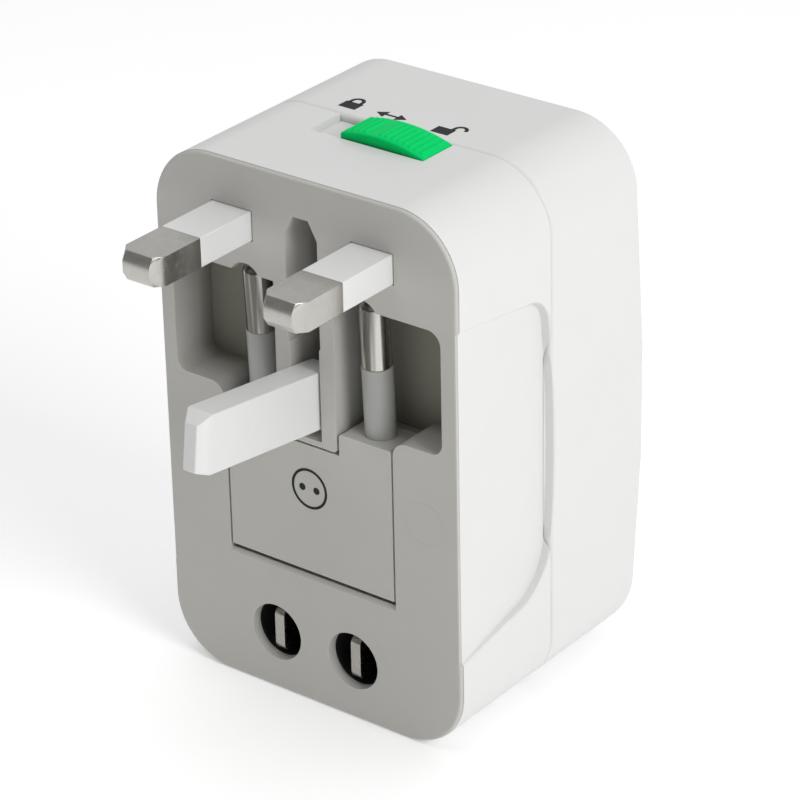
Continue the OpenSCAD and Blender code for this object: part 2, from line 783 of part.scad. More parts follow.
// Housing that keeps the two line contacts apart
module contact_housing() {
  color(white) at_face() difference() {
    block_from([-17, 23.6, line_hole_z - 6.2], [17, 35.3, line_hole_z + 4.6]);
    both_sides() {
      block_from([4.4, 22, line_hole_z - 4.9], [15.7, 36, line_hole_z + 4.2]);
      block_from([blade_x - 1.2, 22, line_hole_z - 7], [blade_x + 1.2, 28, line_hole_z]);
    }
  }
}

// Line contact of the socket: two leaves on a side web, a leaf for a flat blade, and a tail to the blade
module socket_contact() {
  translate([0, 0, line_hole_z]) {
    along_y(24, 35) {
      translate([14.9, -4.7]) square([leaf, 7.6]);
      for (z = [2.45, -2.85]) translate([8.2, z]) square([14.9 - 8.2 + 0.1, leaf]);
      translate([4.6, -4.7]) square([14.9 - 4.6 + 0.1, leaf]);
      translate([4.6, -4.7]) square([leaf, 6.5]);
    }
  }
  block_from([blade_x - 1, 26.9, blade_z - 1.4], [blade_x + 1, 27.3, line_hole_z - 4.4]);
}

module socket_contact_live() { color(brass) at_face() socket_contact(); }
module socket_contact_neutral() { color(brass) at_face() mirror([1, 0, 0]) socket_contact(); }

// Flat blade with rounded corners at its tip, on a round tail
module flat_blade() {
  tip_r = 1.2;
  tip_y = 0.6;
  translate([0, 0, blade_z]) {
    along_x(blade_x - blade_t / 2, blade_x + blade_t / 2) {
      translate([tip_y + tip_r, -blade_h / 2]) square([24 - tip_y - tip_r, blade_h]);
      translate([tip_y, -blade_h / 2 + tip_r]) square([tip_r + 0.1, blade_h - 2 * tip_r]);
      for (z = [-1, 1]) translate([tip_y + tip_r, z * (blade_h / 2 - tip_r)]) circle(tip_r);
    }
  }
  rod_y(blade_x, blade_z, 1.5, 23.9, 26.8);
}

// Round hub in which a blade is moulded, so that the pair can turn to a slant
module blade_hub() {
  difference() {
    union() {
      rod_y(blade_x, blade_z, hub_r, rear_face_y + 0.05, rear_face_y + rear_plate_t + 0.1);
      rod_y(blade_x, blade_z, hub_flange_r, rear_face_y + rear_plate_t + 0.1, retainer_y - 0.1);
    }
    block_from([blade_x - blade_t / 2, 0, blade_z - blade_h / 2], [blade_x + blade_t / 2, 30, blade_z + blade_h / 2]);
  }
}

module blade_live() { color(nickel) at_face() flat_blade(); }
module blade_neutral() { color(nickel) at_face() mirror([1, 0, 0]) flat_blade(); }
module blade_hub_live() { color(grey) at_face() blade_hub(); }
module blade_hub_neutral() { color(grey) at_face() mirror([1, 0, 0]) blade_hub(); }

// Plate that keeps both hubs in the rear module
module blade_retainer() {
  color(white) at_face() difference() {
    along_y(retainer_y, retainer_y + 1.5) intersection() {
      body_outline(wall + plate_fit);
      translate([-20, blade_z - 7]) square([40, 12.9]);
    }
    both_sides() rod_y(blade_x, blade_z, 3.4, 0, 30);
  }
}

front_shell();
front_fascia();
blade_tube_live();
blade_tube_neutral();
front_coupling_plate();
front_screws();
uk_pin_live();
uk_pin_neutral();
uk_sleeve_live();
uk_sleeve_neutral();
uk_pin_carriage();
uk_wiper_live();
uk_wiper_neutral();
earth_pin();
earth_pin_pivot();
earth_pin_detent_spring();
euro_block();
euro_block_cover();
euro_block_screws();
euro_pin_live();
euro_pin_neutral();
euro_sleeve_live();
euro_sleeve_neutral();
euro_pivot_live();
euro_pivot_neutral();
front_busbar_live();
front_busbar_neutral();
blade_contact_live();
blade_contact_neutral();
lock_slider();
lock_detent_spring();
rear_shell();
rear_coupling_plate();
rear_screws();
socket_face();
contact_housing();
socket_contact_live();
socket_contact_neutral();
blade_live();
blade_neutral();
blade_hub_live();
blade_hub_neutral();
blade_retainer();
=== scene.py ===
"""Looks of a universal travel adapter: softened mouldings, finishes, printed signs, camera and light.

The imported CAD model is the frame. Lengths in this script are millimetres in the plug frame: X to the right
when looking at the plug face, Y from that face into the body, Z up, zero midway between the two line pins.
at() carries a point to the row frame, in metres.
"""

import math

import bmesh
import bpy
from mathutils import Matrix, Vector


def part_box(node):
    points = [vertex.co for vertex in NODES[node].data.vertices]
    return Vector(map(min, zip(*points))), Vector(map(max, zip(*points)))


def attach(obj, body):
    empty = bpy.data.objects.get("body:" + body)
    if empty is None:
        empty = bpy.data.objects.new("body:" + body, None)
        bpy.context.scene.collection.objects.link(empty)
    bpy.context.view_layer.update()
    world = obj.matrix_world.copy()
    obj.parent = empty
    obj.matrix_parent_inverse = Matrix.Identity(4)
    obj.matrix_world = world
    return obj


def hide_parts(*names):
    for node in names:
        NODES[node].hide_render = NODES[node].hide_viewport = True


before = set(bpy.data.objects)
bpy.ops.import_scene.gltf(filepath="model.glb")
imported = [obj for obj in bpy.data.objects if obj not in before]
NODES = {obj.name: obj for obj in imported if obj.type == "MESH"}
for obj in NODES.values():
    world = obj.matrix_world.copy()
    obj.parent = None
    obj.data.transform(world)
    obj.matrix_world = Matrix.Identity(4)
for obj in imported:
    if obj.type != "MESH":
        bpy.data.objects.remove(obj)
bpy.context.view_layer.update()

MM = 0.001
FACE_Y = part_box("front_fascia")[0].y
PIN_Z = sum(corner.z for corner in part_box("uk_sleeve_live")) / 2
HALF_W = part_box("front_shell")[1].x / MM
TOP_Z = (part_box("front_shell")[1].z - PIN_Z) / MM
BOTTOM_Z = (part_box("front_shell")[0].z - PIN_Z) / MM
FRONT_Y0 = (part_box("front_shell")[0].y - FACE_Y) / MM
FRONT_Y1 = (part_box("front_shell")[1].y - FACE_Y) / MM
REAR_Y0 = (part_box("rear_shell")[0].y - FACE_Y) / MM
REAR_Y1 = (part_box("rear_shell")[1].y - FACE_Y) / MM
CORNER_R = 9
WALL = 2


def at(x, y, z):
    """A point of the plug frame, in millimetres, as a point of the row frame, in metres."""
    return Vector((x * MM, FACE_Y + y * MM, PIN_Z + z * MM))


# ---------------------------------------------------------------- materials


class Shader:
    """A Principled material with short calls for its nodes."""

    def __init__(self, name, colour, roughness, metallic=0.0):
        self.material = bpy.data.materials.new(name)
        self.material.use_nodes = True
        self.tree = self.material.node_tree
        self.bsdf = self.tree.nodes["Principled BSDF"]
        self.bsdf.inputs["Base Color"].default_value = (*colour, 1)
        self.bsdf.inputs["Roughness"].default_value = roughness
        self.bsdf.inputs["Metallic"].default_value = metallic
        self.place = self.add("ShaderNodeTexCoord").outputs["Object"]

    def add(self, kind, **settings):
        node = self.tree.nodes.new(kind)
        for name, value in settings.items():
            setattr(node, name, value)
        return node

    def link(self, output, socket):
        self.tree.links.new(output, socket)

    def stretched(self, scale):
        """The object's coordinates, scaled unevenly."""
        node = self.add("ShaderNodeMapping")
        node.inputs["Scale"].default_value = scale
        self.link(self.place, node.inputs["Vector"])
        return node.outputs["Vector"]

    def noise(self, size, detail=2.0, place=None):
        """Noise whose features are about size millimetres across."""
        node = self.add("ShaderNodeTexNoise")
        node.inputs["Scale"].default_value = 1 / (size * MM)
        node.inputs["Detail"].default_value = detail
        self.link(place or self.place, node.inputs["Vector"])
        return node.outputs["Fac"]

    def ramp(self, fac, low, high, out_low, out_high):
        node = self.add("ShaderNodeMapRange")
        limits = {"From Min": low, "From Max": high, "To Min": out_low, "To Max": out_high}
        for name, value in limits.items():
            node.inputs[name].default_value = value
        self.link(fac, node.inputs["Value"])
        return node.outputs["Result"]

    def vary_colour(self, fac, dark, light):
        node = self.add("ShaderNodeMix", data_type="RGBA")
        node.inputs["A"].default_value = (*dark, 1)
        node.inputs["B"].default_value = (*light, 1)
        self.link(fac, node.inputs["Factor"])
        self.link(node.outputs["Result"], self.bsdf.inputs["Base Color"])

    def vary_roughness(self, fac, low, high):
        self.link(self.ramp(fac, 0.3, 0.7, low, high), self.bsdf.inputs["Roughness"])

    def bump(self, *layers):
        """Bumps from (height, depth in millimetres) pairs, one on top of the other."""
        normal = None
        for height, depth in layers:
            node = self.add("ShaderNodeBump")
            node.inputs["Strength"].default_value = 1
            node.inputs["Distance"].default_value = depth * MM
            self.link(height, node.inputs["Height"])
            if normal:
                self.link(normal, node.inputs["Normal"])
            normal = node.outputs["Normal"]
        self.link(normal, self.bsdf.inputs["Normal"])


def shade(colour, factor):
    return tuple(min(1.0, c * factor) for c in colour)


# Painted shade: how much of its red, green and blue a moulding keeps deep inside a pocket, where shadow
# falls
POCKET_SHADE_TINT = (0.53, 0.52, 0.46)


def moulded(name, colour, roughness, grain=0.0035, mottle=0.02, gloss=0.5, subsurface=0.0, shade_depths=None):
    """Injection-moulded plastic: fine spark-eroded grain, a faint flow mottle and uneven gloss.

    Two distances behind the face make the colour warmer and darker between them: painted shade deep inside
    the pockets.
    """
    s = Shader(name, colour, roughness)
    s.bsdf.inputs["Specular IOR Level"].default_value = gloss
    if subsurface:
        s.bsdf.inputs["Subsurface Weight"].default_value = subsurface
        s.bsdf.inputs["Subsurface Radius"].default_value = (1, 1, 1)
        s.bsdf.inputs["Subsurface Scale"].default_value = 0.8 * MM
    flow = s.ramp(s.noise(9, 3), 0.3, 0.7, 0, 1)
    s.vary_colour(flow, shade(colour, 1 - mottle), shade(colour, 1 + mottle))
    if shade_depths:
        # Painted shade: the colour darkens and warms deeper into the pockets
        split = s.add("ShaderNodeSeparateXYZ")
        s.link(s.place, split.inputs["Vector"])
        depth = s.ramp(split.outputs["Y"], FACE_Y + shade_depths[0] * MM, FACE_Y + shade_depths[1] * MM, 0, 1)
        mix = s.add("ShaderNodeMix", data_type="RGBA")
        plain = s.bsdf.inputs["Base Color"].links[0].from_socket
        s.link(plain, mix.inputs["A"])
        deep = [c * factor for c, factor in zip(colour, POCKET_SHADE_TINT)]
        mix.inputs["B"].default_value = (*deep, 1)
        s.link(depth, mix.inputs["Factor"])
        s.link(mix.outputs["Result"], s.bsdf.inputs["Base Color"])
    s.vary_roughness(s.noise(2.5, 4), roughness - 0.04, roughness + 0.05)
    s.bump((s.noise(0.22, 2), grain), (s.noise(6, 2), 0.012))
    return s.material


def plated(name, colour, roughness, scratch=0.0012):
    """Plated metal with fine drawn lines along its length and hardly any stains."""
    s = Shader(name, colour, roughness, metallic=1.0)
    s.vary_colour(s.ramp(s.noise(1.6, 4), 0.35, 0.7, 0, 1), shade(colour, 0.95), shade(colour, 1.02))
    s.vary_roughness(s.noise(0.9, 4), roughness - 0.03, roughness + 0.06)
    s.bump((s.noise(0.16, 2, s.stretched((1, 0.12, 0.12))), scratch * 0.3), (s.noise(3.5, 1), 0.0015))
    return s.material


def drawn(name, dark, light, roughness):
    """Bright drawn bar: light and dark bands of painted reflection along its length, as on a polished pin,
    over a fine bump of drawn lines.
    """
    s = Shader(name, light, roughness, metallic=1.0)
    reflection_bands = s.noise(1.1, 1, s.stretched((1, 0.7, 0.035)))
    s.vary_colour(s.ramp(reflection_bands, 0.4, 0.6, 0, 1), dark, light)
    s.vary_roughness(s.noise(0.9, 4), roughness - 0.03, roughness + 0.06)
    s.bump((s.noise(0.16, 2, s.stretched((1, 1, 0.12))), 0.0008))
    return s.material


def printed(name, colour):
    """Pad-printed ink, with a slightly broken edge to its gloss."""
    s = Shader(name, colour, 0.5)
    s.bsdf.inputs["Specular IOR Level"].default_value = 0.15
    s.vary_colour(s.noise(0.5, 4), shade(colour, 0.7), shade(colour, 1.6))
    s.vary_roughness(s.noise(0.3, 3), 0.42, 0.6)
    s.bump((s.noise(0.15, 2), 0.002))
    return s.material


WHITE = moulded("shell_white", (0.635, 0.635, 0.63), 0.45, mottle=0.008, gloss=0.4)
PIN_WHITE = moulded("pin_white", (0.66, 0.66, 0.655), 0.33, grain=0.0015, mottle=0.008)
INNER_WHITE = moulded("inner_white", (0.6, 0.6, 0.59), 0.5)
GREY = moulded("face_grey", (0.462, 0.456, 0.429), 0.6, grain=0.004, mottle=0.012, gloss=0.35)
# The fascia's grey gets painted shade deep inside its pockets
FASCIA_GREY = moulded("fascia_grey", (0.462, 0.456, 0.429), 0.6, grain=0.004, mottle=0.012, gloss=0.35,
                      shade_depths=(4.6, 7.4))
PLATE_GREY = moulded("plate_grey", (0.30, 0.297, 0.28), 0.6, grain=0.005)
SLEEVE_GREY = moulded("sleeve_grey", (0.34, 0.34, 0.328), 0.4, grain=0.0015)
TUBE_BLACK = moulded("tube_black", (0.012, 0.012, 0.012), 0.6)
GREEN = moulded("slider_green", (0.0, 0.56, 0.13), 0.5, grain=0.0015, mottle=0.015, gloss=0.05)
NICKEL = plated("nickel", (0.49, 0.475, 0.445), 0.22)
# Painted shade: a darker copy of the nickel for the blades, which sit among black parts
SHADED_BLADE_NICKEL = plated("blade_nickel_shaded", (0.35, 0.34, 0.31), 0.26)
# Round pins: dark and light bands of painted reflection in the colour
ROUND_NICKEL = drawn("round_nickel", (0.13, 0.125, 0.11), (0.56, 0.545, 0.505), 0.18)
BRASS = plated("contact_brass", (0.72, 0.52, 0.22), 0.3)
STEEL = plated("spring_steel", (0.5, 0.51, 0.53), 0.28)
INK = printed("sign_ink", (0.012, 0.012, 0.012))

FINISHES = {
    "shell_white": WHITE, "pin_white": PIN_WHITE, "inner_white": INNER_WHITE, "face_grey": GREY,
    "plate_grey": PLATE_GREY, "tube_black": TUBE_BLACK, "sleeve_grey": SLEEVE_GREY, "slider_green": GREEN,
    "nickel": NICKEL, "contact_brass": BRASS, "spring_steel": STEEL,
}

# ---------------------------------------------------------------- mesh helpers


def paint(obj, material):
    obj.data.materials.clear()
    obj.data.materials.append(material)


def smooth(mesh):
    mesh.polygons.foreach_set("use_smooth", [True] * len(mesh.polygons))


def soften(obj, width, segments=2, angle=32):
    """Rounds the sharp edges of a piece by a few tenths of a millimetre and keeps its flats flat."""
    if "custom_normal" in obj.data.attributes:
        obj.data.attributes.remove(obj.data.attributes["custom_normal"])
    smooth(obj.data)
    weld = obj.modifiers.new("weld", "WELD")
    weld.merge_threshold = 0.002 * MM
    flat = obj.modifiers.new("flat", "DECIMATE")
    flat.decimate_type = "DISSOLVE"
    flat.angle_limit = math.radians(0.4)
    bevel = obj.modifiers.new("edges", "BEVEL")
    bevel.width = width * MM
    bevel.segments = segments
    bevel.limit_method = "ANGLE"
    bevel.angle_limit = math.radians(angle)
    bevel.miter_outer = "MITER_ARC"
    normals = obj.modifiers.new("normals", "WEIGHTED_NORMAL")
    normals.weight = 100
    normals.keep_sharp = True


def evaluated(obj):
    """A new mesh with the modifiers of obj applied."""
    graph = bpy.context.evaluated_depsgraph_get()
    return bpy.data.meshes.new_from_object(obj.evaluated_get(graph))


def piece(name, points, faces, at_frame=True):
    """A mesh object from points in the plug frame."""
    mesh = bpy.data.meshes.new(name)
    mesh.from_pydata([at(*p) if at_frame else p for p in points], [], faces)
    obj = bpy.data.objects.new(name, mesh)
    bpy.context.scene.collection.objects.link(obj)
    build = bmesh.new()
    build.from_mesh(mesh)
    bmesh.ops.recalc_face_normals(build, faces=build.faces)
    build.to_mesh(mesh)
    build.free()
    return obj


def prism(name, rings):
    """A closed solid through rings of equal length, each a list of points."""
    n = len(rings[0])
    points = [p for ring in rings for p in ring]
    faces = [list(range(n)), [(len(rings) - 1) * n + i for i in range(n)]]
    for r in range(len(rings) - 1):
        for i in range(n):
            j = (i + 1) % n
            faces.append([r * n + i, r * n + j, (r + 1) * n + j, (r + 1) * n + i])
    return piece(name, points, faces)


def box_piece(name, low, high):
    """A rectangular solid between two corners."""
    outline = [(low[0], low[2]), (high[0], low[2]), (high[0], high[2]), (low[0], high[2])]
    return prism(name, [[(x, y, z) for x, z in outline] for y in (low[1], high[1])])


def cut(obj, cutters, operation="DIFFERENCE"):
    """Cuts obj by solids, which are used up."""
    for cutter in cutters:
        step = obj.modifiers.new("cut", "BOOLEAN")
        step.object = cutter
        step.operation = operation
        step.solver = "EXACT"
    mesh = evaluated(obj)
    obj.modifiers.clear()
    obj.data = mesh
    for cutter in cutters:
        bpy.data.objects.remove(cutter)
    return obj


def dress(obj, body, slot, replaced=(), material=None):
    """Gives a piece its finish and body, and hides the CAD parts it replaces."""
    paint(obj, material or FINISHES[slot])
    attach(obj, body)
    if replaced:
        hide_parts(*replaced)
    return obj


def rounded_rect(half_w, low, high, radius, steps=20):
    """Outline of a rounded rectangle in X and Z."""
    points = []
    corners = [(1, high, 0), (-1, high, 90), (-1, low, 180), (1, low, 270)]
    for side, z, start in corners:
        cx = side * (half_w - radius)
        cz = z - radius if z == high else z + radius
        for k in range(steps + 1):
            a = math.radians(start + 90 * k / steps)
            points.append((cx + radius * math.cos(a), cz + radius * math.sin(a)))
    return points


# ---------------------------------------------------------------- camera and light

CAMERA_AZIMUTH = 38.025
CAMERA_ELEVATION = 27.036
CAMERA_ROLL = -1.21
CAMERA_DISTANCE = 439.7
CAMERA_TARGET = at(15.03, 0, -17.48)
CAMERA_LENS = 160.49


def add_camera():
    a, e, roll = (math.radians(v) for v in (CAMERA_AZIMUTH, CAMERA_ELEVATION, CAMERA_ROLL))
    back = Vector((math.sin(a) * math.cos(e), -math.cos(a) * math.cos(e), math.sin(e)))
    data = bpy.data.cameras.new("camera")
    data.lens = CAMERA_LENS
    data.sensor_width = 36
    data.clip_start, data.clip_end = 0.01, 20
    camera = bpy.data.objects.new("camera", data)
    turn = (-back).to_track_quat("-Z", "Y").to_matrix() @ Matrix.Rotation(roll, 3, "Z")
    camera.matrix_world = Matrix.Translation(CAMERA_TARGET + back * CAMERA_DISTANCE * MM) @ turn.to_4x4()
    bpy.context.scene.collection.objects.link(camera)
    bpy.context.scene.camera = camera


def add_light(name, place, size, power, aim=(0, 0, 0.035)):
    data = bpy.data.lights.new(name, "AREA")
    data.shape = "DISK"
    data.size = size
    data.energy = power
    light = bpy.data.objects.new(name, data)
    light.location = place
    light.rotation_euler = (Vector(aim) - Vector(place)).to_track_quat("-Z", "Y").to_euler()
    bpy.context.scene.collection.objects.link(light)


WORLD_FRONT = 0.2
WORLD_BACK = 0.86


def add_studio():
    bpy.context.scene.view_settings.view_transform = "Standard"
    world = bpy.data.worlds.new("studio")
    world.use_nodes = True
    tree = world.node_tree
    background = tree.nodes["Background"]
    background.inputs["Color"].default_value = (1, 1, 1, 1)
    # The room is darker on the side of the plug face
    place = tree.nodes.new("ShaderNodeTexCoord")
    split = tree.nodes.new("ShaderNodeSeparateXYZ")
    fade = tree.nodes.new("ShaderNodeMapRange")
    for name, value in (("From Min", -1), ("From Max", 1), ("To Min", WORLD_FRONT), ("To Max", WORLD_BACK)):
        fade.inputs[name].default_value = value
    tree.links.new(place.outputs["Generated"], split.inputs["Vector"])
    tree.links.new(split.outputs["Y"], fade.inputs["Value"])
    tree.links.new(fade.outputs["Result"], background.inputs["Strength"])
    bpy.context.scene.world = world
    add_light("key_right", (0.75, -0.15, 0.45), size=0.5, power=4.2)
    add_light("top", (-0.1, -0.1, 0.8), size=0.6, power=1.65)

    reach = 3.0
    floor = piece("floor", [(-reach, -reach, 0), (reach, -reach, 0), (reach, reach, 0), (-reach, reach, 0)],
                  [[0, 1, 2, 3]], at_frame=False)
    s = Shader("floor", (0.9, 0.9, 0.9), 0.7)
    s.vary_colour(s.noise(60, 3), (0.93, 0.93, 0.93), (0.95, 0.95, 0.95))
    s.bump((s.noise(1.5, 3), 0.01))
    s.bsdf.inputs["Emission Color"].default_value = (1, 1, 1, 1)
    s.bsdf.inputs["Emission Strength"].default_value = 0.17
    paint(floor, s.material)


# ---------------------------------------------------------------- body shells

GRIP_R = 4.6
GRIP_LOW_R = 8.5
GRIP_MID_Z = -30
GRIP_BACK_Y = 20.4
GRIP_BULGE_R = 140
# The outline's upper and lower edges: their height at the face, and their slope
GRIP_TOP_Z, GRIP_TOP_SLOPE = -6.05, -0.13
GRIP_LOW_Z, GRIP_LOW_SLOPE = -53.0, 0.194
# Heights where its round corners meet its back edge
GRIP_TOP_TURN_Z = -13
GRIP_LOW_TURN_Z = -42
GRIP_DEPTH = 0.3
GRIP_SINK = 0.046


def grip_outline(inset, steps=12):
    """D-shaped outline of a thumb grip as (y, z) points, from the top of the face round to its bottom."""
    points = []

    def back(z):
        return GRIP_BACK_Y - (z - GRIP_MID_Z) ** 2 / (2 * GRIP_BULGE_R) - inset[1]

    def top(y):
        return GRIP_TOP_Z + GRIP_TOP_SLOPE * y - inset[0]

    def low(y):
        return GRIP_LOW_Z + GRIP_LOW_SLOPE * y + inset[0]

    radius, low_radius = GRIP_R - inset[0], GRIP_LOW_R - inset[0]
    y_top, y_low = back(GRIP_TOP_TURN_Z) - radius, back(GRIP_LOW_TURN_Z) - low_radius
    for k in range(steps):
        y = -1 + (y_top + 1) * k / steps
        points.append((y, top(y)))
    for k in range(steps + 1):
        a = math.radians(90 - 86 * k / steps)
        points.append((y_top + radius * math.cos(a), top(y_top) - radius + radius * math.sin(a)))
    z_high, z_low = top(y_top) - radius, low(y_low) + low_radius
    for k in range(1, 2 * steps):
        z = z_high + (z_low - z_high) * k / (2 * steps)
        points.append((back(z), z))
    for k in range(steps + 1):
        a = math.radians(-4 - 80 * k / steps)
        points.append((y_low + low_radius * math.cos(a), low(y_low) + low_radius + low_radius * math.sin(a)))
    for k in range(1, steps + 1):
        y = y_low + (-1 - y_low) * k / steps
        points.append((y, low(y)))
    return points


# Rim of a grip: how deep in the scoop, as a share of its depth, and how far the outline is drawn in there
GRIP_RINGS = ((0, -0.3, -0.3), (0.04, -0.17, -0.17), (0.14, -0.05, -0.05), (0.3, 0, 0), (1, 0.15, 0.22))


def grip_cutter(side):
    """Solid that scoops a thumb grip: a rounded rim, a steep wall and a sloping floor."""
    rings = [[(side * (HALF_W + 0.6), y, z) for y, z in grip_outline(GRIP_RINGS[0][1:])]]
    for share, inset_z, inset_y in GRIP_RINGS:
        outline = grip_outline((inset_z, inset_y))
        ring_points = []
        for y, z in outline:
            depth = GRIP_DEPTH + GRIP_SINK * max(y, 0)
            ring_points.append((side * (HALF_W - share * depth), y, z))
        rings.append(ring_points)
    return prism("grip", rings)


def shell_tube(name, y0, y1):
    outer = rounded_rect(HALF_W, BOTTOM_Z, TOP_Z, CORNER_R)
    inner = rounded_rect(HALF_W - WALL, BOTTOM_Z + WALL, TOP_Z - WALL, CORNER_R - WALL)
    n = len(outer)
    points = [(x, y, z) for ring, y in ((outer, y0), (outer, y1), (inner, y1), (inner, y0)) for x, z in ring]
    faces = []
    for r in range(4):
        for i in range(n):
            j = (i + 1) % n
            s = (r + 1) % 4
            faces.append([r * n + i, r * n + j, s * n + j, s * n + i])
    return piece(name, points, faces)


# Recess of the lock slider, and the slot under it for the slider's stem
RECESS_HALF_W, RECESS_Y0, RECESS_DEPTH = 9, 13.3, 1
STEM_SLOT_X = (-3.6, 7.4)
STEM_SLOT_Y = (15, 18)
SEAM_EDGE = 0.035


def make_front_shell():
    shell = shell_tube("front_shell_moulding", FRONT_Y0, FRONT_Y1)
    low = (-RECESS_HALF_W, RECESS_Y0, TOP_Z - RECESS_DEPTH)
    recess = box_piece("recess", low, (RECESS_HALF_W, FRONT_Y1 + 1, TOP_Z + 1))
    low = (STEM_SLOT_X[0], STEM_SLOT_Y[0], TOP_Z - 2 * WALL)
    slot = box_piece("slot", low, (STEM_SLOT_X[1], STEM_SLOT_Y[1], TOP_Z))
    cut(shell, [grip_cutter(1), grip_cutter(-1), recess, slot])
    soften(shell, SEAM_EDGE, segments=2, angle=22)
    dress(shell, "front_module", "shell_white", ["front_shell"])


REAR_POSTS = ((19.3, -9), (19.3, -50))
POST_R = 2
POST_Y0, POST_Y1 = REAR_Y0 + 1.65, 37.5
SCREW_BORE_R = 0.95
SCREW_BORE_Y = (18, 33)
# The back is flat between two heights and leans in to END_Y at the top and the bottom
END_Y = 38.4
BACK_FLAT = (-40, -23.5)
BACK_EDGE_R = 0.7
SOCKET_HALF_W, SOCKET_Z, SOCKET_HALF_H, SOCKET_R = 16, -31.75, 22, 5
SOCKET_Y0 = 35


def rod(name, x, z, radius, y0, y1, steps=32):
    """A round bar along Y."""
    ring = [(x + radius * math.cos(2 * math.pi * k / steps), z + radius * math.sin(2 * math.pi * k / steps))
            for k in range(steps)]
    return prism(name, [[(a, y, b) for a, b in ring] for y in (y0, y1)])


def side_profile(name, inset, half_w):
    """Solid with the side outline of the rear module: its back leans in towards the top and the bottom."""
    end_y, back_y, start_y = END_Y - inset - 0.1, REAR_Y1 - inset, REAR_Y0 - 2
    outline = [(start_y, TOP_Z + 1), (end_y, TOP_Z + 1), (back_y, BACK_FLAT[1]),
               (back_y, BACK_FLAT[0]), (end_y, BOTTOM_Z - 1), (start_y, BOTTOM_Z - 1)]
    return prism(name, [[(x, y, z) for y, z in outline] for x in (-half_w, half_w)])


def rear_block(name, inset, y0):
    outline = rounded_rect(HALF_W - inset, BOTTOM_Z + inset, TOP_Z - inset, CORNER_R - inset)
    body = prism(name, [[(x, y, z) for x, z in outline] for y in (y0, REAR_Y1 + 1)])
    return cut(body, [side_profile("side", inset, HALF_W + 1)], "INTERSECT")


def make_rear_shell():
    shell = rear_block("rear_shell_moulding", 0, REAR_Y0)
    edges = shell.modifiers.new("round_back", "BEVEL")
    edges.width = BACK_EDGE_R * MM
    edges.segments = 5
    edges.limit_method = "ANGLE"
    edges.angle_limit = math.radians(40)
    hollow = rear_block("hollow", WALL, REAR_Y0 - 1)
    cut(shell, [hollow])
    places = [(side * x, z) for side in (1, -1) for x, z in REAR_POSTS]
    posts = [rod("post", x, z, POST_R, POST_Y0, POST_Y1) for x, z in places]
    bores = [rod("bore", x, z, SCREW_BORE_R, *SCREW_BORE_Y) for x, z in places]
    cut(shell, posts, "UNION")
    outline = rounded_rect(SOCKET_HALF_W, -SOCKET_HALF_H, SOCKET_HALF_H, SOCKET_R)
    opening = [(x, z + SOCKET_Z) for x, z in outline]
    window = prism("socket_window", [[(x, y, z) for x, z in opening] for y in (SOCKET_Y0, REAR_Y1 + 1)])
    cut(shell, bores + [window, grip_cutter(1), grip_cutter(-1)])
    soften(shell, SEAM_EDGE, segments=2, angle=22)
    dress(shell, "socket_module", "shell_white", ["rear_shell"])


# ---------------------------------------------------------------- lock slider

SLIDER_X0, SLIDER_X1 = -4.0, 8.9
SLIDER_Y0, SLIDER_Y1 = 13.4, 19.45
SLIDER_FLOOR = 0.95
SLIDER_CROWN = 1.45
SLIDER_CROWN_X = 1.47
SLIDER_ARCH_R = 23
RIDGE_H = 0.22
RIDGE_HALF_W = 0.36
RIDGE_PITCH = 0.9
RIDGES_LEFT, RIDGES_RIGHT = 4, 8
RIDGE_MARGIN = 0.7
# Where the ridges stop before the slider's front and back, and the length over which they rise
RIDGE_FRONT_GAP, RIDGE_BACK_GAP, RIDGE_RISE = 0.45, 0.35, 0.3
SLIDER_EDGE_R = 0.28
# Stem through the shell, latch that reaches the rear module, and its head, as (low, high) corners
SLIDER_STEM = ((1.6, 15.2, 4.4), (7.1, 17.8, TOP_Z - 0.5))
SLIDER_LATCH = ((1.6, 15.2, 4.4), (7.1, 22.6, 5.3))
SLIDER_HEAD = ((1.6, 21.5, 4.4), (7.1, 22.6, 6.05))


def slider_arch(x):
    return SLIDER_CROWN - (x - SLIDER_CROWN_X) ** 2 / (2 * SLIDER_ARCH_R)


def slider_height(x, y, ridges):
    """Height of the slider's top above the shell: a low arch with round edges and finger ridges."""
    edge = min(x - SLIDER_X0, SLIDER_X1 - x, y - SLIDER_Y0, SLIDER_Y1 - y)
    off_edge = 1 - min(edge, SLIDER_EDGE_R) / SLIDER_EDGE_R
    drop = SLIDER_EDGE_R * (1 - math.sqrt(max(0, 1 - off_edge ** 2)))
    ridge = 0
    end = min(y - SLIDER_Y0 - RIDGE_FRONT_GAP, SLIDER_Y1 - RIDGE_BACK_GAP - y)
    if end > 0:
        fade = min(1, end / RIDGE_RISE)
        for x0 in ridges:
            ridge = max(ridge, math.cos(min(abs(x - x0) / RIDGE_HALF_W, 1) * math.pi / 2))
        ridge *= RIDGE_H * math.sin(fade * math.pi / 2)
    return slider_arch(x) - drop + ridge


def steps_with_edges(low, high, pitch, edge=SLIDER_EDGE_R, rounds=5):
    """Values from low to high, closer together at both ends where the edge is rounded."""
    ends = [edge * (1 - math.cos(math.pi / 2 * k / rounds)) for k in range(rounds)]
    count = max(2, round((high - low - 2 * edge) / pitch))
    middle = [low + edge + (high - low - 2 * edge) * k / count for k in range(count + 1)]
    return [low + e for e in ends] + middle + [high - e for e in reversed(ends)]


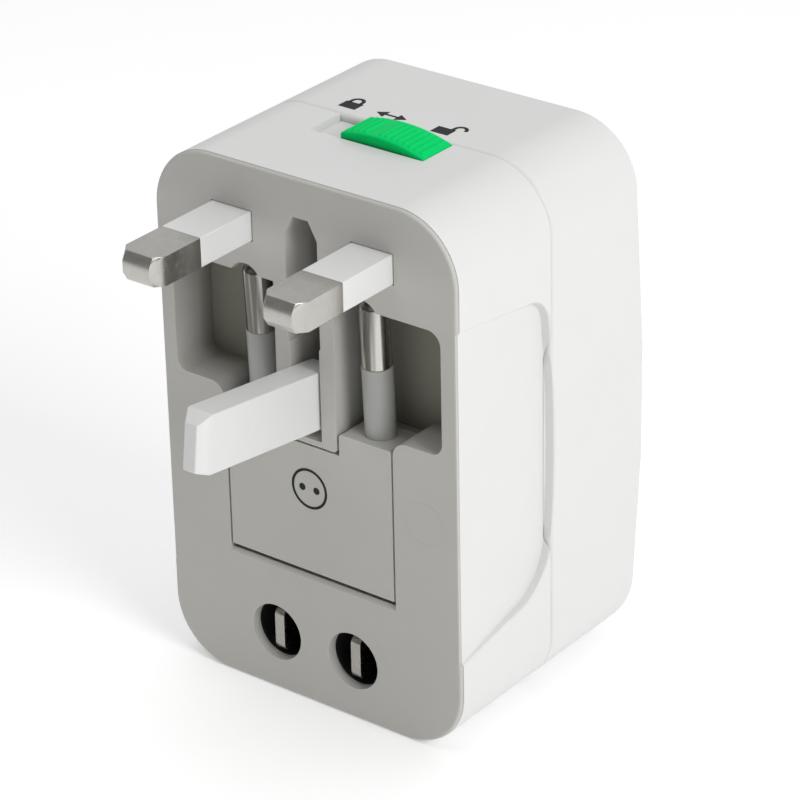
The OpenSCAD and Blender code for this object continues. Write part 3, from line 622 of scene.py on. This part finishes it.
def make_lock_slider():
    left = [SLIDER_X0 + RIDGE_MARGIN + RIDGE_PITCH * k for k in range(RIDGES_LEFT)]
    right = [SLIDER_X1 - RIDGE_MARGIN - RIDGE_PITCH * k for k in range(RIDGES_RIGHT)]
    xs = steps_with_edges(SLIDER_X0, SLIDER_X1, 0.06)
    ys = steps_with_edges(SLIDER_Y0, SLIDER_Y1, 0.15)
    nx, ny = len(xs), len(ys)
    points = [(x, y, TOP_Z + slider_height(x, y, left + right)) for y in ys for x in xs]
    faces = [[j * nx + i, j * nx + i + 1, (j + 1) * nx + i + 1, (j + 1) * nx + i]
             for j in range(ny - 1) for i in range(nx - 1)]
    rim = [i for i in range(nx)] + [j * nx + nx - 1 for j in range(1, ny)]
    rim += [(ny - 1) * nx + i for i in range(nx - 2, -1, -1)] + [j * nx for j in range(ny - 2, 0, -1)]
    base = len(points)
    points += [(points[i][0], points[i][1], TOP_Z - SLIDER_FLOOR) for i in rim]
    for k in range(len(rim)):
        n = (k + 1) % len(rim)
        faces.append([rim[k], rim[n], base + n, base + k])
    faces.append([base + k for k in range(len(rim))])
    cap = piece("lock_slider_moulding", points, faces)
    stem = box_piece("stem", *SLIDER_STEM)
    latch = box_piece("latch", *SLIDER_LATCH)
    head = box_piece("head", *SLIDER_HEAD)
    cut(cap, [stem, latch, head], "UNION")
    smooth(cap.data)
    normals = cap.modifiers.new("normals", "WEIGHTED_NORMAL")
    normals.weight = 60
    normals.keep_sharp = True
    dress(cap, "lock", "slider_green", ["lock_slider"])


# ---------------------------------------------------------------- printed signs

SIGN_H = 0.02
SIGN_ROOT = 0.03


def raised(name, shapes, place):
    """Thin shapes on a surface, each a pair of an outer outline and the inner one of a ring, or None.

    place(u, v, h) is the point of the plug frame h above the surface.
    """
    points, faces = [], []
    for outer, inner in shapes:
        n, start = len(outer), len(points)
        loops = [(outer, -SIGN_ROOT), (outer, SIGN_H)]
        if inner:
            loops += [(inner, SIGN_H), (inner, -SIGN_ROOT)]
        points += [place(u, v, h) for loop, h in loops for u, v in loop]
        rounds = len(loops) if inner else 1
        for r in range(rounds):
            a, b = start + r * n, start + (r + 1) % len(loops) * n
            for k in range(n):
                m = (k + 1) % n
                faces.append([a + k, a + m, b + m, b + k])
        if not inner:
            faces.append([start + k for k in range(n)])
            faces.append([start + n + k for k in range(n)])
    return piece(name, points, faces)


def circle(cu, cv, radius, steps=48):
    angles = [2 * math.pi * k / steps for k in range(steps)]
    return [(cu + radius * math.cos(a), cv + radius * math.sin(a)) for a in angles]


def dot(cu, cv, radius):
    return (circle(cu, cv, radius), None)


def ring(cu, cv, radius, width):
    return (circle(cu, cv, radius + width / 2), circle(cu, cv, radius - width / 2))


def stroke(points, width):
    """Outline of a line of even width through points."""
    left, right = [], []
    for i, p in enumerate(points):
        a = Vector(points[max(i - 1, 0)])
        b = Vector(points[min(i + 1, len(points) - 1)])
        d = (b - a).normalized()
        left.append((p[0] - d.y * width / 2, p[1] + d.x * width / 2))
        right.append((p[0] + d.y * width / 2, p[1] - d.x * width / 2))
    return left + right[::-1]


def padlock(cx, cy, size, opened):
    """A plain padlock sign: a square body with a round shackle, swung aside when opened."""
    body = [(cx - 0.5 * size, cy - 0.42 * size), (cx + 0.5 * size, cy - 0.42 * size),
            (cx + 0.5 * size, cy + 0.3 * size), (cx - 0.5 * size, cy + 0.3 * size)]
    shift = 0.62 * size if opened else 0
    arc = [(cx + shift + 0.31 * size * math.cos(math.radians(a)),
            cy + 0.45 * size + 0.33 * size * math.sin(math.radians(a))) for a in range(0, 181, 15)]
    arc = [(arc[0][0], cy + (0.42 if opened else 0.25) * size)] + arc + [(arc[-1][0], cy + 0.25 * size)]
    return [(body, None), (stroke(arc, 0.19 * size), None)]


def double_arrow(cx, cy, half, head):
    shaft = 0.2
    return [([(cx - half, cy), (cx - half + head, cy - head * 0.62), (cx - half + head, cy - shaft),
             (cx + half - head, cy - shaft), (cx + half - head, cy - head * 0.62), (cx + half, cy),
             (cx + half - head, cy + head * 0.62), (cx + half - head, cy + shaft),
             (cx - half + head, cy + shaft), (cx - half + head, cy + head * 0.62)], None)]


SIGN_Y = 22.7
SIGN_SIZE = 2.7
CLOSED_X, ARROW_X, OPEN_X = -9.6, -3.1, 5.2
ARROW_HALF_L, ARROW_HEAD_L = 2.4, 1.5
PLUG_SIGN_Z, PLUG_SIGN_R, PLUG_SIGN_LINE = -34.7, 2.7, 0.38
PLUG_DOT_X, PLUG_DOT_R = 1.15, 0.5
BLOCK_FACE_Y = (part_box("euro_block")[0].y - FACE_Y) / MM
EARTH_SIDE_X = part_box("earth_pin")[1].x / MM


def make_signs():
    """Printed signs in place of words, and the round ejector marks of the moulds."""
    shapes = padlock(CLOSED_X, SIGN_Y, SIGN_SIZE, False)
    shapes += double_arrow(ARROW_X, SIGN_Y, ARROW_HALF_L, ARROW_HEAD_L)
    shapes += padlock(OPEN_X, SIGN_Y, SIGN_SIZE, True)
    lock_signs = raised("lock_signs", shapes, lambda u, v, h: (u, v, TOP_Z + h))
    dress(lock_signs, "socket_module", "plate_grey", material=INK)

    plug = [ring(0, PLUG_SIGN_Z, PLUG_SIGN_R, PLUG_SIGN_LINE)]
    plug += [dot(side * PLUG_DOT_X, PLUG_SIGN_Z, PLUG_DOT_R) for side in (-1, 1)]
    plug_sign = raised("round_pin_sign", plug, lambda u, v, h: (u, BLOCK_FACE_Y - h, v))
    dress(plug_sign, "euro_plug", "plate_grey", material=INK)

    marks = [ring(18.6, -34, 2.95, 0.16), dot(6.6, 7.2, 0.22)]
    face_marks = raised("face_marks", marks, lambda u, v, h: (u, -h, v))
    dress(face_marks, "front_module", "face_grey", material=FASCIA_GREY)
    marks = [ring(-14.5, -19.5, 1.05, 0.12)]
    pin_marks = raised("earth_pin_mark", marks, lambda u, v, h: (EARTH_SIDE_X + h, u, v))
    dress(pin_marks, "uk_earth", "pin_white")


def carried_over():
    """The CAD pieces that stay, with their edges rounded and their finish."""
    kept = {
        "face_grey": (0.22, ["front_fascia", "euro_block"]),
        "plate_grey": (0.12, ["front_coupling_plate", "rear_coupling_plate", "blade_hub_live",
                              "blade_hub_neutral", "socket_face", "euro_block_cover"]),
        "tube_black": (0.1, ["blade_tube_live", "blade_tube_neutral"]),
        "pin_white": (0.14, ["earth_pin", "uk_sleeve_live", "uk_sleeve_neutral"]),
        "inner_white": (0.1, ["uk_pin_carriage", "contact_housing", "blade_retainer"]),
        "sleeve_grey": (0.1, ["euro_sleeve_live", "euro_sleeve_neutral"]),
        "nickel": (0.09, ["uk_pin_live", "uk_pin_neutral", "euro_pin_live", "euro_pin_neutral", "blade_live",
                          "blade_neutral"]),
        "contact_brass": (0.06, ["uk_wiper_live", "uk_wiper_neutral", "euro_pivot_live",
                                 "euro_pivot_neutral", "front_busbar_live", "front_busbar_neutral",
                                 "blade_contact_live", "blade_contact_neutral", "socket_contact_live",
                                 "socket_contact_neutral"]),
        "spring_steel": (0.06, ["front_screws", "rear_screws", "euro_block_screws", "earth_pin_pivot",
                                "earth_pin_detent_spring", "lock_detent_spring"]),
    }
    for slot, (width, names) in kept.items():
        for name in names:
            paint(NODES[name], FINISHES[slot])
            soften(NODES[name], width)
    paint(NODES["front_fascia"], FASCIA_GREY)
    # The round pins get bands of painted reflection
    for name in ("euro_pin_live", "euro_pin_neutral"):
        paint(NODES[name], ROUND_NICKEL)
    # The blades get the darker copy of the nickel, painted shade
    for name in ("blade_live", "blade_neutral"):
        paint(NODES[name], SHADED_BLADE_NICKEL)


add_camera()
add_studio()
carried_over()
make_front_shell()
make_rear_shell()
make_lock_slider()
make_signs()
